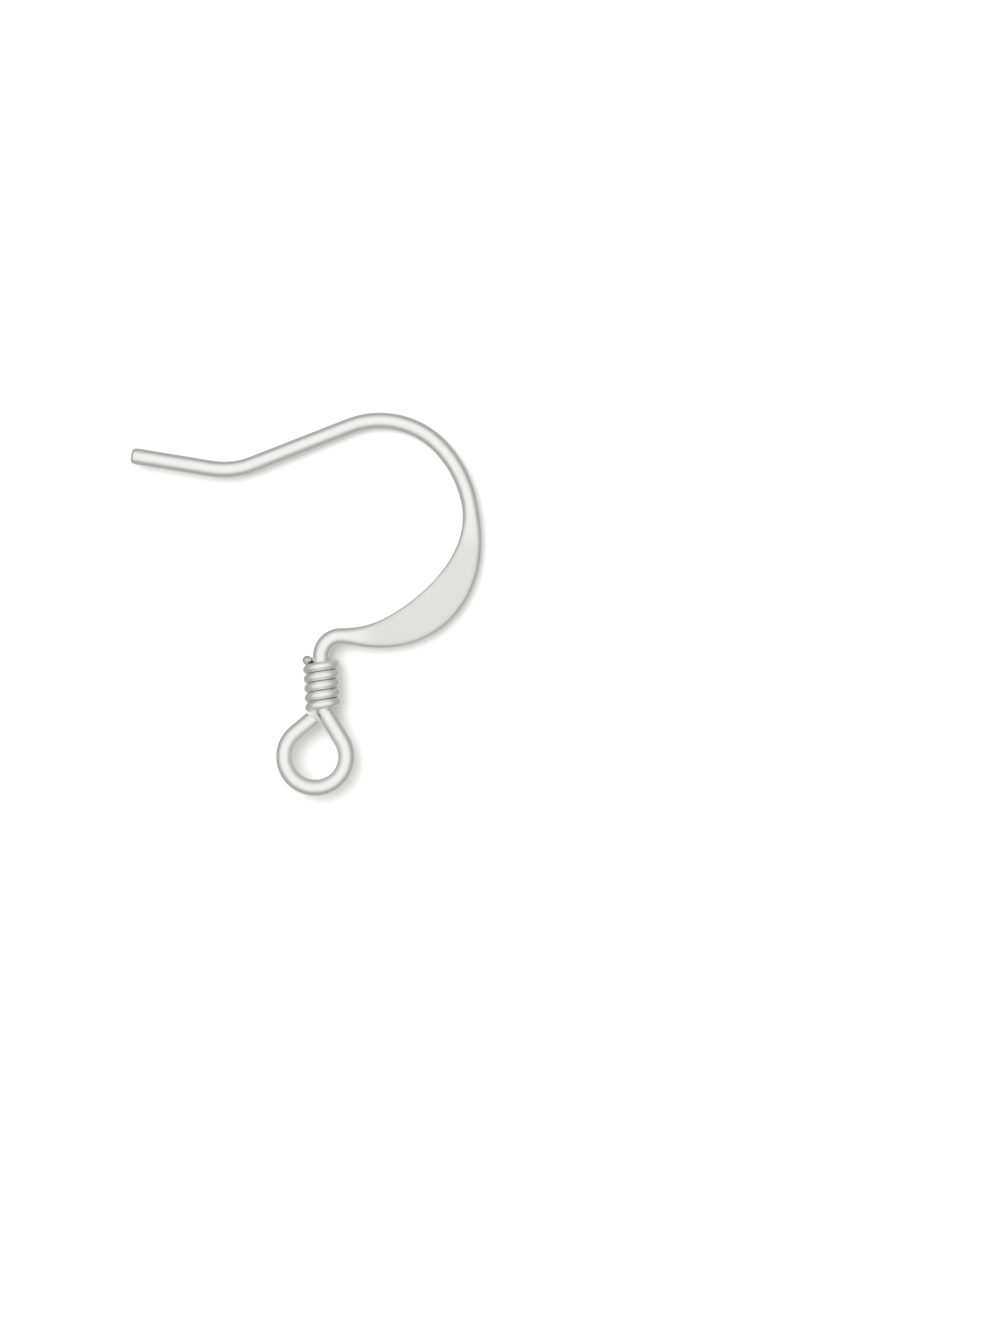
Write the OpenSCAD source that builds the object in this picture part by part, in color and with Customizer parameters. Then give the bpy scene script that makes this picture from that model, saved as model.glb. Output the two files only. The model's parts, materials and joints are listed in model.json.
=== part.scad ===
// Ear wire: a fish-hook earring finding. One round wire is bent to a hook with an open loop and
// hammered flat along its front, and a finer wire is wound round its stem.
// It lies on its side on a flat surface: +X to the right, +Y up the hook, +Z away from the surface.

/* [Wire] */
// Diameter of the hook's round wire, 21 gauge
wire_d = 0.72; // [0.6:0.01:0.8]
// Size of the bevel round the tip of the tail
tip_bevel = 0.2; // [0.04:0.01:0.28]

/* [Hook] */
// Heading of the tail on the surface, in degrees from +X
tail_heading = -9.3; // [-30:0.1:20]
// Length of the straight tail behind the ear
tail_len = 3.6; // [2:0.05:8]
// Radius of the bend between the tail and the rise
kick_r = 3.5; // [1.5:0.1:6]
// Turn of that bend, in degrees
kick_turn = 30.8; // [15:0.1:45]
// Length of the straight rise to the arch
rise_len = 4.6; // [2.5:0.05:8]
// Radius of the arch that hangs in the ear hole
arch_r = 3.72; // [3:0.01:6]
// Turn of the arch, in degrees
arch_turn = 68.2; // [55:0.1:90]
// Radius of the front below the arch
front_r = 5; // [4:0.05:7]
// Turn of the front that stays round, in degrees
front_turn = 31.5; // [10:0.1:40]

/* [Blade] */
// Turn of the hammered blade, in degrees
blade_turn = 103.2; // [90:0.1:112]
// Length of the blade's straight end at the neck
blade_end_len = 0.64; // [0.2:0.01:1.5]
// Width of the blade where it is widest
blade_w = 1.76; // [1.1:0.02:2.4]
// Where the blade is widest, as a share of its length
blade_widest = 0.55; // [0.4:0.01:0.65]
// How quickly the blade narrows to both ends
blade_taper = 4; // [3:0.1:6]

/* [Neck and loop] */
// Radius of the tight neck above the coil
neck_r = 0.9; // [0.7:0.01:1.5]
// Turn of the neck, in degrees
neck_turn = 94.3; // [85:0.1:100]
// Radius of the bend where the stem becomes the loop
shoulder_r = 0.45; // [0.4:0.01:0.7]
// Inner diameter of the loop
loop_hole_d = 2.04; // [1.7:0.02:3]
// Distance along the stem from its foot to the loop's circle
throat_len = 0.79; // [0.6:0.01:1.2]
// How far the loop's centre lies beside the stem's axis
loop_shift = 0.47; // [0.2:0.01:0.6]
// How far the loop's cut end lies beside the stem's axis
end_shift = 0.5; // [0.45:0.01:0.8]
// Gap between the loop's cut end and the coil
end_gap = 0.03; // [0.02:0.01:0.2]
// Gap between the loop's cut end and its first leg
leg_gap = 0.06; // [0.04:0.01:0.25]

/* [Coil] */
// Diameter of the coil's wire, 26 gauge
coil_wire_d = 0.4; // [0.3:0.01:0.5]
// Number of turns in the coil
coil_turns = 5; // [3:1:8]
// Gap between the stem and the coil
coil_fit = 0.06; // [0.03:0.01:0.12]
// Gap between one turn and the next
turn_gap = 0.02; // [0.01:0.01:0.1]
// How far the coil reaches past the straight stem towards the neck
neck_reach = 0.1; // [0:0.01:0.12]
// How far the coil reaches past the straight stem towards the loop
foot_reach = 0.18; // [0:0.01:0.2]

/* [Rest] */
// Where the arch touches the surface, as a share of its turn
rest_share = 0.74; // [0.5:0.01:0.9]

/* [Hidden] */
$fn = 48;

// Polygons that stand for round sections in the swept shapes
edge_points = 10;
coil_sides = 12;
blade_rings = 40;
rings_per_turn = 24;
// Every second run of the wire is a hair thinner and laps into its neighbours, so that all fuse
// in clean faces
seam_step = 0.004;
seam_lap = 0.03;

wire_r = wire_d / 2;
wire_area = PI * wire_r * wire_r;
coil_wire_r = coil_wire_d / 2;
coil_axis_r = wire_r + coil_fit + coil_wire_r;
coil_r = coil_axis_r + coil_wire_r;
coil_pitch = coil_wire_d + turn_gap;
coil_len = coil_turns * coil_pitch + coil_wire_d;
stem_len = coil_len - neck_reach - foot_reach;
loop_r = (loop_hole_d + wire_d) / 2;
blade_arc_len = front_r * PI * blade_turn / 180;
blade_len = blade_arc_len + blade_end_len;

// A run of wire is [length, 0] where it is straight and [radius, turn] where it is bent.
// A pose is [x, y, heading] in the plane of the hook; a share from 0 to 1 goes along a run.
function arc_centre(start, run) =
    let (side = sign(run[1]))
    [start.x - side * run[0] * sin(start.z), start.y + side * run[0] * cos(start.z)];
function straight_pose(start, length) =
    [start.x + length * cos(start.z), start.y + length * sin(start.z), start.z];
function arc_pose(start, run, share) =
    let (side = sign(run[1]), centre = arc_centre(start, run), heading = start.z + share * run[1])
    [centre.x + side * run[0] * sin(heading), centre.y - side * run[0] * cos(heading), heading];
function run_pose(start, run, share) =
    run[1] == 0 ? straight_pose(start, share * run[0]) : arc_pose(start, run, share);
// The place that lies so far beside a pose, on its right, and so far ahead of it
function beside(pose, right, ahead) =
    [pose.x + ahead * cos(pose.z) + right * sin(pose.z), pose.y + ahead * sin(pose.z) - right * cos(pose.z)];
function bearing(from, to) = atan2(to.y - from.y, to.x - from.x);

// The hook, from the tail's tip to the stem
tail_run = [tail_len, 0];
kick_run = [kick_r, kick_turn];
rise_run = [rise_len, 0];
arch_run = [arch_r, -arch_turn];
front_run = [front_r, -front_turn];
blade_arc = [front_r, -blade_turn];
neck_run = [neck_r, neck_turn];
stem_run = [stem_len, 0];
tail_tip = [0, 0, tail_heading];
kick_start = run_pose(tail_tip, tail_run, 1);
rise_start = run_pose(kick_start, kick_run, 1);
arch_start = run_pose(rise_start, rise_run, 1);
front_start = run_pose(arch_start, arch_run, 1);
blade_start = run_pose(front_start, front_run, 1);
blade_arc_end = run_pose(blade_start, blade_arc, 1);
neck_start = straight_pose(blade_arc_end, blade_end_len);
stem_start = run_pose(neck_start, neck_run, 1);
stem_foot = run_pose(stem_start, stem_run, 1);

// The loop: its two straight legs touch one circle, the first from the shoulder's bend and the
// second from beside the foot of the stem, where the wire is cut
shoulder_centre = beside(stem_foot, -shoulder_r, 0);
loop_centre = beside(stem_foot, loop_shift, throat_len + loop_r);
shoulder_to_loop = norm(loop_centre - shoulder_centre);
leg_heading = bearing(shoulder_centre, loop_centre) + asin((loop_r + shoulder_r) / shoulder_to_loop);
leg_len = sqrt(pow(shoulder_to_loop, 2) - pow(loop_r + shoulder_r, 2));
foot_heading = stem_foot.z - 360 * round(stem_foot.z / 360);
shoulder_run = [shoulder_r, leg_heading - foot_heading];
leg_run = [leg_len, 0];
leg_start = run_pose(stem_foot, shoulder_run, 1);
loop_start = run_pose(leg_start, leg_run, 1);
end_aim = beside(stem_foot, end_shift, foot_reach + end_gap + wire_r / sqrt(2));
loop_to_end = norm(end_aim - loop_centre);
end_heading = bearing(loop_centre, end_aim) - asin(loop_r / loop_to_end);
loop_run = [loop_r, end_heading - leg_heading - 360];
end_start = run_pose(loop_start, loop_run, 1);
// The cut end's upper corner stops end_gap under the coil
end_lean = end_heading - foot_heading - 180;
end_spare = wire_r * (1 / sqrt(2) - abs(sin(end_lean)));
end_len = sqrt(pow(loop_to_end, 2) - pow(loop_r, 2)) + end_spare / abs(cos(end_lean));
end_stop = straight_pose(end_start, end_len);
// The cut slants, so that the lower corner reaches on until it stops leg_gap beside the first leg
lower_corner = beside(end_stop, wire_r, 0);
corner_to_leg = abs(cross([lower_corner.x - leg_start.x, lower_corner.y - leg_start.y],
                          [cos(leg_heading), sin(leg_heading)])) - wire_r;
corner_reach = max(0, (corner_to_leg - leg_gap) / abs(sin(end_heading - leg_heading)));
end_slant = atan(corner_reach / wire_d);

// The blade's width follows one smooth swelling, and its thickness keeps the metal of the wire
function swelling(share) =
    pow(share / blade_widest, blade_taper * blade_widest)
    * pow((1 - share) / (1 - blade_widest), blade_taper * (1 - blade_widest));
function blade_width(share) = wire_d + (blade_w - wire_d) * swelling(share);
function blade_thickness(width) =
    let (corner = 1 - PI / 4) (width - sqrt(width * width - 4 * corner * wire_area)) / (2 * corner);
function blade_pose(way) =
    way < blade_arc_len
    ? run_pose(blade_start, blade_arc, way / blade_arc_len)
    : straight_pose(blade_arc_end, way - blade_arc_len);
// A flat section with half-round edges: [across, up] for each of its points
function flat_section(width, thickness) =
    [for (side = [1, -1], k = [0:edge_points - 1])
        let (angle = 180 * (k + 0.5) / edge_points - 90)
        side * [(width - thickness) / 2 + thickness / 2 * cos(angle), thickness / 2 * sin(angle)]];
function ring_at(pose, section) =
    [for (p = section) [pose.x + p[0] * sin(pose.z), pose.y - p[0] * cos(pose.z), p[1]]];
function blade_section(share, trim) =
    let (width = blade_width(share))
    flat_section(width - 2 * trim, blade_thickness(width) - 2 * trim);

// The middle of the hook's outline, from its outermost points
side_share = (blade_start.z + 90) / blade_turn * blade_arc_len / blade_len;
top_y = arc_centre(arch_start, arch_run).y + arch_r + wire_r;
bottom_y = loop_centre.y - loop_r - wire_r;
left_x = tail_tip.x;
right_x = arc_centre(blade_start, blade_arc).x + front_r + blade_width(side_share) / 2;
middle = [(left_x + right_x) / 2, (top_y + bottom_y) / 2];

// At rest the arch and the coil's upper end touch the surface, so the hook leans a little
rest_pose = run_pose(arch_start, arch_run, rest_share);
coil_contact = straight_pose(stem_start, coil_wire_r - neck_reach + coil_pitch / 4);
rest_span = norm([coil_contact.x - rest_pose.x, coil_contact.y - rest_pose.y])
    * abs(sin(bearing(rest_pose, coil_contact) - rest_pose.z));
rest_lean = asin((coil_r - wire_r) / rest_span);

// Lays the flat hook down on its arch and its coil, with the middle of its outline at the origin
module laid_down() {
    axis = [cos(rest_pose.z), sin(rest_pose.z), 0];
    translate([rest_pose.x - middle.x, rest_pose.y - middle.y, wire_r])
        rotate(a = -rest_lean, v = axis)
            translate([-rest_pose.x, -rest_pose.y, 0])
                children();
}

// Round wire along one run; a thinner run laps into the run before it and the one after it
module round_wire(start, run, thinner) {
    r = thinner ? wire_r - seam_step : wire_r;
    lap = thinner ? seam_lap : 0;
    if (run[1] == 0)
        translate([start.x, start.y, 0])
            rotate([0, 90, start.z])
                translate([0, 0, -lap])
                    cylinder(r = r, h = run[0] + 2 * lap);
    else {
        centre = arc_centre(start, run);
        lap_turn = lap / run[0] * 180 / PI;
        translate([centre.x, centre.y, 0])
            rotate([0, 0, (run[1] > 0 ? start.z - 90 : start.z + 90 + run[1]) - lap_turn])
                rotate_extrude(angle = abs(run[1]) + 2 * lap_turn)
                    translate([run[0], 0])
                        circle(r = r);
    }
}

// Joins rings of points into one closed skin
module skin(rings) {
    n = len(rings[0]);
    last = len(rings) - 1;
    sides = [for (i = [0:last - 1], k = [0:n - 1])
        let (a = i * n + k, b = i * n + (k + 1) % n)
        each [[a, b, b + n], [a, b + n, a + n]]];
    near_cap = [for (k = [n - 1:-1:0]) k];
    far_cap = [for (k = [0:n - 1]) last * n + k];
    polyhedron(points = [for (ring = rings) each ring], faces = concat([near_cap], sides, [far_cap]));
}

// The straight tail, whose tip is bevelled so that it slips into the ear
module tail() {
    translate([tail_tip.x, tail_tip.y, 0])
        rotate([0, 90, tail_heading]) {
            cylinder(r1 = wire_r - tip_bevel, r2 = wire_r, h = tip_bevel);
            translate([0, 0, tip_bevel])
                cylinder(r = wire_r, h = tail_len - tip_bevel);
        }
}

// The front of the hook, hammered flat in the hook's own plane; it laps into the round wire
module blade() {
    skin([
        ring_at(blade_pose(-seam_lap), blade_section(0, seam_step)),
        for (i = [0:blade_rings])
            let (share = i / blade_rings)
            ring_at(blade_pose(share * blade_len), blade_section(share, share % 1 == 0 ? seam_step : 0)),
        ring_at(blade_pose(blade_len + seam_lap), blade_section(1, seam_step))
    ]);
}

// The loop's free end, cut off at a slant
module loop_end() {
    upper_corner = beside(end_stop, -wire_r, 0);
    difference() {
        round_wire(end_start, [end_len + corner_reach + wire_r, 0], true);
        translate([upper_corner.x, upper_corner.y, 0])
            rotate([0, 0, end_heading + end_slant])
                translate([0, -2 * wire_d, -wire_d])
                    cube([corner_reach + 2 * wire_d, 3 * wire_d, 2 * wire_d]);
    }
}

module ear_hook() {
    color("silver")
        laid_down() {
            tail();
            round_wire(kick_start, kick_run, true);
            round_wire(rise_start, rise_run, false);
            round_wire(arch_start, arch_run, true);
            round_wire(front_start, front_run, false);
            blade();
            round_wire(neck_start, neck_run, false);
            round_wire(stem_start, stem_run, true);
            round_wire(stem_foot, shoulder_run, false);
            round_wire(leg_start, leg_run, true);
            round_wire(loop_start, loop_run, false);
            loop_end();
        }
}

// The finer wire, wound round the stem from its foot up to the neck
module wire_coil() {
    rings = [for (i = [0:coil_turns * rings_per_turn])
        let (turn = i / rings_per_turn, around = 180 + 360 * turn)
        [for (k = [0:coil_sides - 1])
            let (angle = 360 * k / coil_sides, out = coil_axis_r + coil_wire_r * cos(angle))
            [out * cos(around), out * sin(around), coil_wire_r * (1 + sin(angle)) + turn * coil_pitch]]];
    color("silver")
        laid_down()
            translate([stem_foot.x, stem_foot.y, 0])
                rotate([0, 0, stem_foot.z + 90])
                    rotate([-90, 0, 0])
                        translate([0, 0, -foot_reach])
                            skin(rings);
}

ear_hook();
wire_coil();
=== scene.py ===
import json
import math

import bmesh
import bpy
from mathutils import Matrix, Vector


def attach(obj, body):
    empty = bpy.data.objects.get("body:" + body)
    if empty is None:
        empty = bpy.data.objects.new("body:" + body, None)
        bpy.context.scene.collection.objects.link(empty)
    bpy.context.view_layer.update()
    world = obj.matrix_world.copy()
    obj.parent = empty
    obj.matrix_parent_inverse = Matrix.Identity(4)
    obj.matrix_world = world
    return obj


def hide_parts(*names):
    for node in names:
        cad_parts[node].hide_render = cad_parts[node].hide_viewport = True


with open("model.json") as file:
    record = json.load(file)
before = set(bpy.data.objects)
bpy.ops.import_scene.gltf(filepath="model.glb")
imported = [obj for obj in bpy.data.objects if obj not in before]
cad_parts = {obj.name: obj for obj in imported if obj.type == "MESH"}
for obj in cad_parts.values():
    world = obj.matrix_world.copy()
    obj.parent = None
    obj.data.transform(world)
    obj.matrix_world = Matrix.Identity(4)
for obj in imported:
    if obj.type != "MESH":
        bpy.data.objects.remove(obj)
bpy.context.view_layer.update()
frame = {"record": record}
mm = 0.001


# ---- Camera ----
# It looks straight down on the table, from far enough off that the wire shows no perspective. The
# picture's frame is measured at the height of the wire.
picture_height = 59.05 * mm
picture_centre = Vector((8.62, -2.70, 0.7)) * mm
camera_distance = 300 * mm

camera_data = bpy.data.cameras.new("camera")
camera_data.lens = camera_data.sensor_width * camera_distance / picture_height
camera = bpy.data.objects.new("camera", camera_data)
camera.location = picture_centre + Vector((0, 0, camera_distance))
bpy.context.scene.collection.objects.link(camera)
bpy.context.scene.camera = camera


# ---- Table ----
# A sheet of matt white card under the hook. It is coated card, so it is even and has next to no
# gloss, with only the faint tooth of its fibres.
def linear(hex_colour):
    """Turns an sRGB hex colour to the linear colour that a socket takes."""
    channels = [int(hex_colour[i:i + 2], 16) / 255 for i in (0, 2, 4)]
    return [c / 12.92 if c <= 0.04045 else ((c + 0.055) / 1.055) ** 2.4 for c in channels] + [1]


def add_node(tree, kind, inputs, **settings):
    """Adds a node with its settings. Each input is a value or another node's output."""
    node = tree.nodes.new(kind)
    for name, value in settings.items():
        setattr(node, name, value)
    for name, value in inputs.items():
        if isinstance(value, bpy.types.NodeSocket):
            tree.links.new(value, node.inputs[name])
        else:
            node.inputs[name].default_value = value
    return node


card_half = 600 * mm
card_tooth = 0.25 * mm
card_tooth_height = 0.01 * mm

card = bpy.data.materials.new("matt_white_card")
card.use_nodes = True
tree = card.node_tree
surface = tree.nodes["Principled BSDF"]
place = add_node(tree, "ShaderNodeTexCoord", {})
tooth = add_node(tree, "ShaderNodeTexNoise",
                 {"Vector": place.outputs["Object"], "Scale": 1 / card_tooth, "Detail": 3.0})
relief = add_node(tree, "ShaderNodeBump",
                  {"Height": tooth.outputs["Fac"], "Strength": 0.05,
                   "Distance": card_tooth_height})
tree.links.new(relief.outputs["Normal"], surface.inputs["Normal"])
surface.inputs["Base Color"].default_value = linear("F6F6F4")
surface.inputs["Roughness"].default_value = 0.75
surface.inputs["Specular IOR Level"].default_value = 0.2

sheet = bmesh.new()
bmesh.ops.create_grid(sheet, x_segments=1, y_segments=1, size=card_half)
table_mesh = bpy.data.meshes.new("table")
sheet.to_mesh(table_mesh)
sheet.free()
table_mesh.materials.append(card)
table = bpy.data.objects.new("table", table_mesh)
bpy.context.scene.collection.objects.link(table)


# ---- Light ----
# A white tent stands over the table. It is bright overhead, a little more so to the upper left, and
# dim round the horizon. The wire mirrors this as a bright middle between two dark flanks. Below the
# horizon it is bright again and stands for the white card.
light_bearing = 142
tent_lean = 9
tent_brightness = 0.95
lamp_lean = 25
lamp_distance = 350 * mm
lamp_width = 350 * mm
lamp_power = 1.1

# Each level is (angle in degrees from the brightest place of the tent, share of the brightness)
tent_levels = ((180, 0.85), (157, 0.78), (140, 0.55), (124, 0.42), (84, 0.43),
               (74, 0.53), (62, 0.7), (50, 0.86), (36, 0.96), (0, 1.0))


def towards(lean):
    """The direction that leans so many degrees from the zenith towards the light."""
    return Matrix.Rotation(math.radians(light_bearing), 3, "Z") \
        @ Vector((math.sin(math.radians(lean)), 0, math.cos(math.radians(lean))))


brightest = towards(tent_lean)
world = bpy.data.worlds.new("tent")
world.use_nodes = True
tree = world.node_tree
direction = add_node(tree, "ShaderNodeTexCoord", {})
nearness = add_node(tree, "ShaderNodeVectorMath",
                    {0: direction.outputs["Generated"], 1: brightest}, operation="DOT_PRODUCT")
ramp_place = add_node(tree, "ShaderNodeMath", {0: nearness.outputs["Value"], 1: 0.5, 2: 0.5},
                      operation="MULTIPLY_ADD")
ramp = add_node(tree, "ShaderNodeValToRGB", {"Fac": ramp_place.outputs["Value"]})
for angle, _ in tent_levels[1:-1]:
    ramp.color_ramp.elements.new((1 + math.cos(math.radians(angle))) / 2)
for element, (_, level) in zip(ramp.color_ramp.elements, tent_levels):
    element.color = (level, level, level, 1)
tree.links.new(ramp.outputs["Color"], tree.nodes["Background"].inputs["Color"])
tree.nodes["Background"].inputs["Strength"].default_value = tent_brightness
bpy.context.scene.world = world

# The broad lamp behind the tent. It makes the card white and the shadow soft, falling a little to
# the lower right. The metal mirrors the tent alone, so neither lamp nor card whitens its flanks.
lamp_data = bpy.data.lights.new("lamp", "AREA")
lamp_data.shape = "DISK"
lamp_data.size = lamp_width
lamp_data.energy = lamp_power
lamp = bpy.data.objects.new("lamp", lamp_data)
lamp.location = towards(lamp_lean) * lamp_distance
lamp.rotation_euler = towards(lamp_lean).to_track_quat("Z", "Y").to_euler()
lamp.visible_glossy = False
table.visible_glossy = False
bpy.context.scene.collection.objects.link(lamp)
bpy.context.scene.view_settings.view_transform = "Standard"


# ---- Ear hook ----
# One length of drawn brass wire with a bright silver plate. It is bent in one plane round pins, its
# front is hammered flat in that plane, and its lower end is turned to a loop that stays open.
wire_d = 0.72 * mm
wire_r = wire_d / 2
wire_sides = 36
tip_bevel = 0.2 * mm
cut_bevel = 0.035 * mm
bevel_steps = 5

# A run is (length, 0) where the wire is straight, and (radius, turn in degrees) where it is bent
tail_run = (3.6 * mm, 0)
kick_run = (3.5 * mm, 30.8)
rise_run = (4.6 * mm, 0)
arch_run = (3.72 * mm, -68.2)
front_run = (5.0 * mm, -31.5)
blade_arc = (5.0 * mm, -103.2)
blade_end = (0.64 * mm, 0)
neck_run = (0.9 * mm, 94.3)

# The blade is widest at a share of its length, and a larger taper makes it swell more suddenly
blade_w = 1.76 * mm
blade_widest = 0.55
blade_taper = 4.0

# The loop and its cut end each lie beside the stem's line by a shift. The cut end stops just short
# of the coil and of the first leg.
shoulder_r = 0.45 * mm
loop_inner_d = 2.04 * mm
loop_r = (loop_inner_d + wire_d) / 2
throat_len = 0.79 * mm
loop_shift = 0.47 * mm
end_shift = 0.5 * mm
end_gap = 0.03 * mm
leg_gap = 0.06 * mm

# The stem is as long as the coil round it, less what the coil reaches past it at either end
coil_wire_d = 0.4 * mm
coil_turns = 5
coil_fit = 0.06 * mm
turn_gap = 0.02 * mm
neck_reach = 0.1 * mm
foot_reach = 0.18 * mm
coil_pitch = coil_wire_d + turn_gap
coil_len = coil_turns * coil_pitch + coil_wire_d
stem_run = (coil_len - neck_reach - foot_reach, 0)


def run_length(run):
    """The length of wire in a run."""
    size, turn = run
    return abs(math.radians(turn)) * size if turn else size


def along(run, share):
    """The move along a share of a run, in the wire's own frame: X ahead, Y to the left, Z up."""
    size, turn = run
    if not turn:
        return Matrix.Translation((share * size, 0, 0))
    centre = Matrix.Translation((0, math.copysign(size, turn), 0))
    return centre @ Matrix.Rotation(math.radians(share * turn), 4, "Z") @ centre.inverted()


def bearing(start, goal):
    """The heading in degrees from one point to another."""
    return math.degrees(math.atan2(goal.y - start.y, goal.x - start.x))


# The loop's two legs touch one circle. The first leaves the shoulder, where the stem ends, and the
# second is cut off beside the stem, just under the coil.
shoulder_centre = Vector((0, shoulder_r))
loop_centre = Vector((throat_len + loop_r, -loop_shift))
shoulder_to_loop = (loop_centre - shoulder_centre).length
leg_heading = bearing(shoulder_centre, loop_centre) \
    + math.degrees(math.asin((loop_r + shoulder_r) / shoulder_to_loop))
end_aim = Vector((foot_reach + end_gap + wire_r / math.sqrt(2), -end_shift))
loop_to_end = (end_aim - loop_centre).length
end_heading = bearing(loop_centre, end_aim) - math.degrees(math.asin(loop_r / loop_to_end))
end_lean = math.radians(end_heading - 180)
end_spare = wire_r * (1 / math.sqrt(2) - abs(math.sin(end_lean)))
shoulder_run = (shoulder_r, leg_heading)
leg_run = (math.sqrt(shoulder_to_loop ** 2 - (loop_r + shoulder_r) ** 2), 0)
loop_run = (loop_r, -((leg_heading - end_heading) % 360))
end_run = (math.sqrt(loop_to_end ** 2 - loop_r ** 2) + end_spare / abs(math.cos(end_lean)), 0)

# The hammer spreads the wire's metal and takes none away. The rims of the blade are half ovals, so
# many times as wide as they are thick where it is widest. A rounded corner leaves a share of its
# square empty.
blade_len = run_length(blade_arc) + run_length(blade_end)
wire_area = math.pi * wire_r ** 2
rim_width = 2.0
corner_share = 1 - math.pi / 4


def blade_width(share):
    """The blade swells smoothly from the round wire and back."""
    up = (share / blade_widest) ** (blade_taper * blade_widest)
    down = ((1 - share) / (1 - blade_widest)) ** (blade_taper * (1 - blade_widest))
    return wire_d + (blade_w - wire_d) * up * down


def half_section(width, side):
    """Turns one half of the round wire to its half of the hammered section, with equal area."""
    oval = 1 + (rim_width - 1) * (width - wire_d) / (blade_w - wire_d)
    corners = oval * corner_share
    thickness = (width - math.sqrt(max(width ** 2 - 4 * corners * wire_area, 0))) / (2 * corners)
    return Matrix.Translation((0, side * (width - oval * thickness) / 2, 0)) \
        @ Matrix.Diagonal((1, oval * thickness / wire_d, thickness / wire_d, 1))


# The wire starts at the tip of the tail and lies in the plane of the loop, as the mounts give them
mounts = {mount["name"]: mount for mount in frame["record"]["mounts"]}
tail_mount = mounts["tail"]
ahead = -Vector(tail_mount["axis"]).normalized()
left = Vector(mounts["drop_loop"]["axis"]).cross(ahead).normalized()
pose = Matrix((ahead, left, ahead.cross(left))).transposed().to_4x4()
pose.translation = Vector(tail_mount["pos_m"]) \
    - ahead * (tail_mount["dims"]["length_mm"] * mm / 2 + tip_bevel)

# Each station is the wire's pose, its width and its distance from the tip
bend_step = 3.0
blade_rings = 64
stations = [(pose, wire_d, 0.0)]
distance = 0.0
for run in (tail_run, kick_run, rise_run, arch_run, front_run, blade_arc, blade_end, neck_run,
            stem_run, shoulder_run, leg_run, loop_run, end_run):
    on_blade = run in (blade_arc, blade_end)
    steps = max(1, math.ceil(abs(run[1]) / bend_step))
    if on_blade:
        steps = math.ceil(blade_rings * run_length(run) / blade_len)
    for step in range(1, steps + 1):
        way = run_length(run) * step / steps
        width = wire_d
        if on_blade:
            passed = way + (run_length(blade_arc) if run is blade_end else 0)
            width = blade_width(min(passed / blade_len, 1))
        stations.append((pose @ along(run, step / steps), width, distance + way))
    pose = pose @ along(run, 1)
    distance += run_length(run)
    if run is stem_run:
        stem_foot = pose
    if run is shoulder_run:
        leg_start = pose

# The cut end slants, so that its lower corner reaches on until it stops beside the first leg
lower_corner = leg_start.inverted() @ pose @ Vector((0, -wire_r, 0))
corner_reach = (abs(lower_corner.y) - wire_r - leg_gap) \
    / abs(math.sin(math.radians(loop_run[1])))
slant = Matrix.Translation((corner_reach / 2, 0, 0))
slant[0][1] = -corner_reach / wire_d

# The ring of the wire is drawn on from station to station. It is turned by half a side, so that no
# point lies between the wire's two halves. The layer "drawn" keeps each point's place in the
# straight wire before it was bent, and "hammered" how far the wire is flattened.
hook = bmesh.new()
drawn = hook.verts.layers.float_vector.new("drawn")
hammered = hook.verts.layers.float.new("hammered")
half_step = math.pi / wire_sides
first_ring = Matrix.Rotation(half_step, 4, "X") @ Matrix.Rotation(math.pi / 2, 4, "Y")
bmesh.ops.create_circle(hook, cap_ends=True, segments=wire_sides, radius=wire_r, matrix=first_ring)
for vert in hook.verts:
    vert[drawn] = vert.co
bmesh.ops.transform(hook, matrix=stations[0][0], verts=hook.verts)
ring = hook.edges[:]
tip_edges = hook.edges[:]
for (pose, width, _), (next_pose, next_width, distance) in zip(stations, stations[1:]):
    made = bmesh.ops.extrude_edge_only(hook, edges=ring)["geom"]
    ring = [part for part in made if isinstance(part, bmesh.types.BMEdge)]
    points = [part for part in made if isinstance(part, bmesh.types.BMVert)]
    ring = [edge for edge in ring if all(vert in points for vert in edge.verts)]
    for side in (1, -1):
        move = next_pose @ half_section(next_width, side) \
            @ half_section(width, side).inverted() @ pose.inverted()
        half = [vert for vert in points if side * vert[drawn].y > 0]
        bmesh.ops.transform(hook, matrix=move, verts=half)
    for vert in points:
        vert[drawn].x = distance
        vert[hammered] = (next_width - wire_d) / (blade_w - wire_d)
bmesh.ops.transform(hook, matrix=next_pose @ slant @ next_pose.inverted(), verts=points)
end_edges = ring
bmesh.ops.holes_fill(hook, edges=end_edges, sides=0)
for edges, size in ((tip_edges, tip_bevel), (end_edges, cut_bevel)):
    bmesh.ops.bevel(hook, geom=edges, offset=size, offset_type="OFFSET", affect="EDGES",
                    segments=bevel_steps, profile=0.5, material=-1, clamp_overlap=True)
bmesh.ops.recalc_face_normals(hook, faces=hook.faces)

# All faces along the wire have four corners, and the flat ones at its ends have more
for face in hook.faces:
    face.smooth = len(face.verts) == 4

hook_mesh = bpy.data.meshes.new("hook_wire")
hook.to_mesh(hook_mesh)
hook.free()
hook_wire = bpy.data.objects.new("hook_wire", hook_mesh)
bpy.context.scene.collection.objects.link(hook_wire)

# Bright silver plate over drawn brass: near-white and glossy, but softened by faint lines along the
# wire from the drawing die. The hammered front is duller and a little uneven, and its colour is
# painted greyer as painted shade, for the dimmer reflection its flat face takes from straight
# overhead. A die's lines are some 0.01 mm apart, too fine to show, so they are drawn coarser.
drawn_silver = linear("FAFAF8")
drawn_roughness = (0.28, 0.34)
die_line = 0.08 * mm
die_run = 2.5 * mm
die_line_height = 0.014 * mm

# The blade's finish and its painted shade are reached where the wire is flattened to this share of
# the widest place
blade_finish_from = 0.4
# Painted shade: the blade's grey colour stands in for the dimmer reflection from straight overhead
blade_painted_shade = linear("EEEEEC")
hammered_dulling = 0.15
dent_size = 0.55 * mm
dent_height = 0.07 * mm

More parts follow.
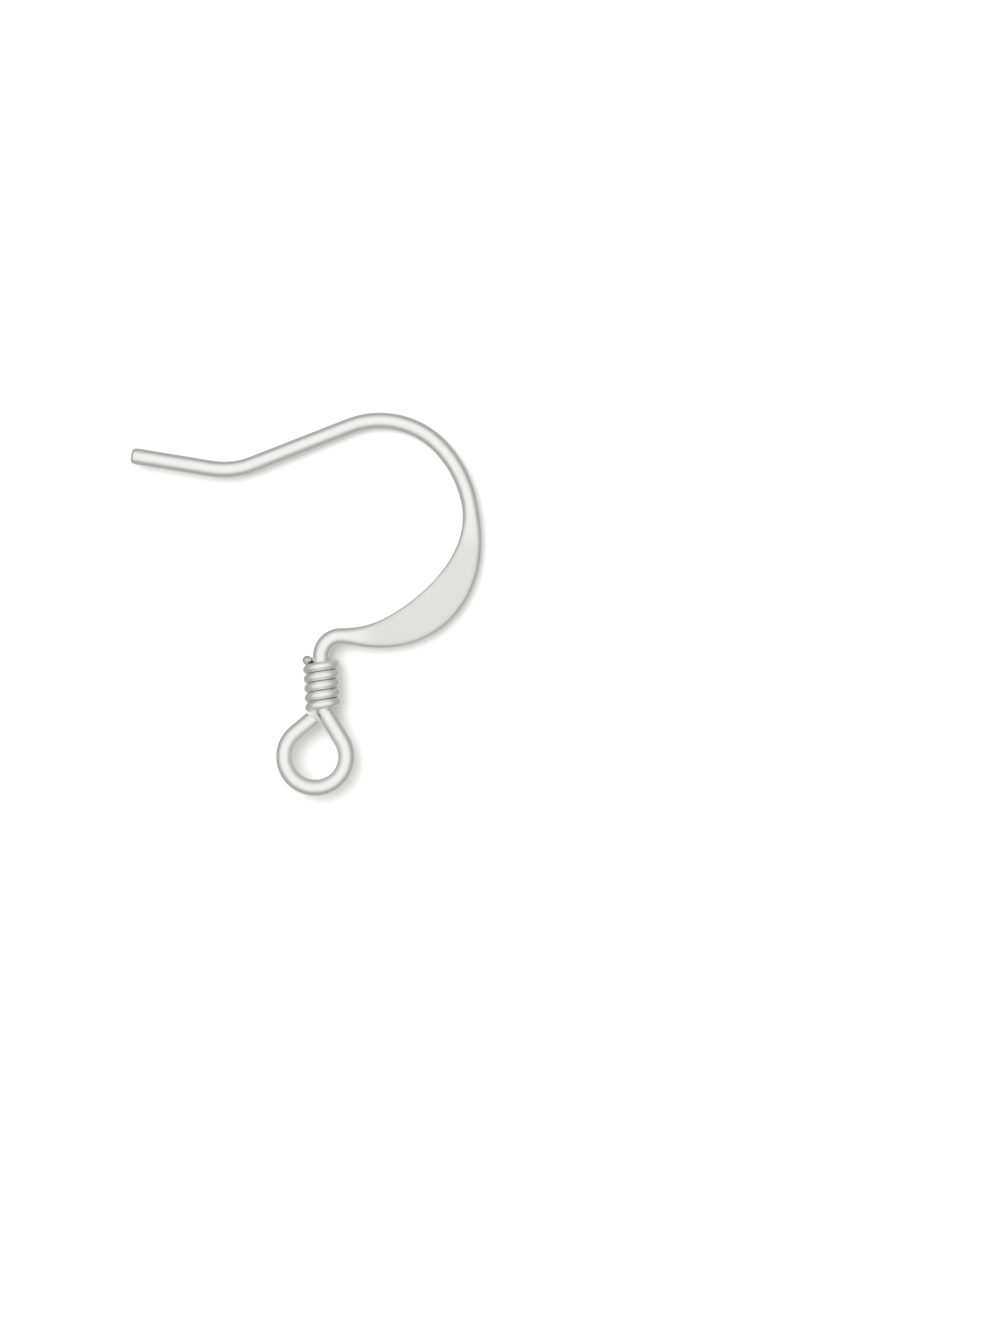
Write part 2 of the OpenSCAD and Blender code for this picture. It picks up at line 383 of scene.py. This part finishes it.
plate = bpy.data.materials.new("silver_plate_drawn_hammered_painted_shade")
plate.use_nodes = True
tree = plate.node_tree
surface = tree.nodes["Principled BSDF"]
wire_place = add_node(tree, "ShaderNodeAttribute", {}, attribute_name="drawn")
flattened = add_node(tree, "ShaderNodeAttribute", {}, attribute_name="hammered")
flatness = add_node(tree, "ShaderNodeMapRange",
                    {"Value": flattened.outputs["Fac"], "From Max": blade_finish_from})
object_place = add_node(tree, "ShaderNodeTexCoord", {})
stretch = add_node(tree, "ShaderNodeMapping",
                   {"Vector": wire_place.outputs["Vector"],
                    "Scale": (1 / die_run, 1 / die_line, 1 / die_line)})
lines = add_node(tree, "ShaderNodeTexNoise",
                 {"Vector": stretch.outputs["Vector"], "Scale": 1.0, "Detail": 2.0})
dents = add_node(tree, "ShaderNodeTexNoise",
                 {"Vector": object_place.outputs["Object"], "Scale": 1 / dent_size, "Detail": 2.0})
shine = add_node(tree, "ShaderNodeMapRange",
                 {"Value": lines.outputs["Fac"],
                  "To Min": drawn_roughness[0], "To Max": drawn_roughness[1]})
dulled = add_node(tree, "ShaderNodeMath",
                  {0: flatness.outputs["Result"], 1: hammered_dulling,
                   2: shine.outputs["Result"]},
                  operation="MULTIPLY_ADD")
line_relief = add_node(tree, "ShaderNodeBump",
                       {"Height": lines.outputs["Fac"], "Strength": 0.5,
                        "Distance": die_line_height})
dents_on_blade = add_node(tree, "ShaderNodeMath",
                          {0: dents.outputs["Fac"], 1: flatness.outputs["Result"]},
                          operation="MULTIPLY")
dent_relief = add_node(tree, "ShaderNodeBump",
                       {"Height": dents_on_blade.outputs["Value"], "Strength": 0.5,
                        "Distance": dent_height, "Normal": line_relief.outputs["Normal"]})
# The mix paints the flattened blade greyer, as painted shade
# Sockets 6 and 7 are the two colours that the node mixes
plate_and_painted_shade = add_node(tree, "ShaderNodeMix",
                {"Factor": flatness.outputs["Result"], 6: drawn_silver, 7: blade_painted_shade},
                data_type="RGBA")
tree.links.new(plate_and_painted_shade.outputs[2], surface.inputs["Base Color"])
tree.links.new(dulled.outputs["Value"], surface.inputs["Roughness"])
tree.links.new(dent_relief.outputs["Normal"], surface.inputs["Normal"])
surface.inputs["Metallic"].default_value = 1.0
hook_mesh.materials.append(plate)

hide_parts("ear_hook")
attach(hook_wire, "root")


# ---- Coil ----
# A finer plated wire, wound right-handed round the stem in close turns. Both of its ends are
# snipped off at the same side, which pinches them to a blunt point. The lower one leads over the
# front and the upper one comes from behind.
coil_sides = 24
steps_per_turn = 56
pinch_width = 0.2 * mm
pinch_height = 0.2 * mm

# The turns lie against each other, so their wire fills the pitch but for a hair. What that adds to
# its thickness goes inwards, towards the stem.
hair_gap = 0.006 * mm
touching_wire_d = coil_pitch - hair_gap
coil_axis_r = wire_r + coil_fit + coil_wire_d - touching_wire_d / 2

coil = bmesh.new()
drawn = coil.verts.layers.float_vector.new("drawn")
first_ring = Matrix.Translation((foot_reach - coil_wire_d / 2, -coil_axis_r, 0))
bmesh.ops.create_circle(coil, cap_ends=True, segments=coil_sides, radius=touching_wire_d / 2)
for vert in coil.verts:
    vert[drawn] = Vector((0, vert.co.x, vert.co.y))
bmesh.ops.transform(coil, matrix=stem_foot @ first_ring, verts=coil.verts)
ring = coil.edges[:]
to_neck = -(stem_foot.to_3x3() @ Vector((1, 0, 0)))
turn_length = math.hypot(math.tau * coil_axis_r, coil_pitch)
for step in range(1, coil_turns * steps_per_turn + 1):
    made = bmesh.ops.spin(coil, geom=ring, cent=stem_foot.translation, axis=to_neck,
                          dvec=to_neck * coil_pitch / steps_per_turn,
                          angle=math.tau / steps_per_turn, steps=1, use_duplicate=False)
    ring = [part for part in made["geom_last"] if isinstance(part, bmesh.types.BMEdge)]
    for vert in {vert for edge in ring for vert in edge.verts}:
        vert[drawn].x = turn_length * step / steps_per_turn
bmesh.ops.holes_fill(coil, edges=ring, sides=0)
bmesh.ops.recalc_face_normals(coil, faces=coil.faces)
snipped = [face for face in coil.faces if len(face.verts) == coil_sides]
bmesh.ops.inset_individual(coil, faces=snipped, thickness=pinch_width, depth=pinch_height)
for face in coil.faces:
    face.smooth = len(face.verts) == 4

coil_mesh = bpy.data.meshes.new("coil_wire")
coil.to_mesh(coil_mesh)
coil.free()
coil_wire = bpy.data.objects.new("coil_wire", coil_mesh)
bpy.context.scene.collection.objects.link(coil_wire)

# The same bright plate on finer wire, a little less even. Its die lines run round with the turns.
fine_roughness = (0.28, 0.36)

coil_plate = bpy.data.materials.new("silver_plate_drawn_fine")
coil_plate.use_nodes = True
tree = coil_plate.node_tree
surface = tree.nodes["Principled BSDF"]
wire_place = add_node(tree, "ShaderNodeAttribute", {}, attribute_name="drawn")
stretch = add_node(tree, "ShaderNodeMapping",
                   {"Vector": wire_place.outputs["Vector"],
                    "Scale": (1 / die_run, 1 / die_line, 1 / die_line)})
lines = add_node(tree, "ShaderNodeTexNoise",
                 {"Vector": stretch.outputs["Vector"], "Scale": 1.0, "Detail": 2.0})
shine = add_node(tree, "ShaderNodeMapRange",
                 {"Value": lines.outputs["Fac"],
                  "To Min": fine_roughness[0], "To Max": fine_roughness[1]})
relief = add_node(tree, "ShaderNodeBump",
                  {"Height": lines.outputs["Fac"], "Strength": 0.5,
                   "Distance": die_line_height})
tree.links.new(shine.outputs["Result"], surface.inputs["Roughness"])
tree.links.new(relief.outputs["Normal"], surface.inputs["Normal"])
surface.inputs["Base Color"].default_value = drawn_silver
surface.inputs["Metallic"].default_value = 1.0
coil_mesh.materials.append(coil_plate)

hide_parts("wire_coil")
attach(coil_wire, "root")
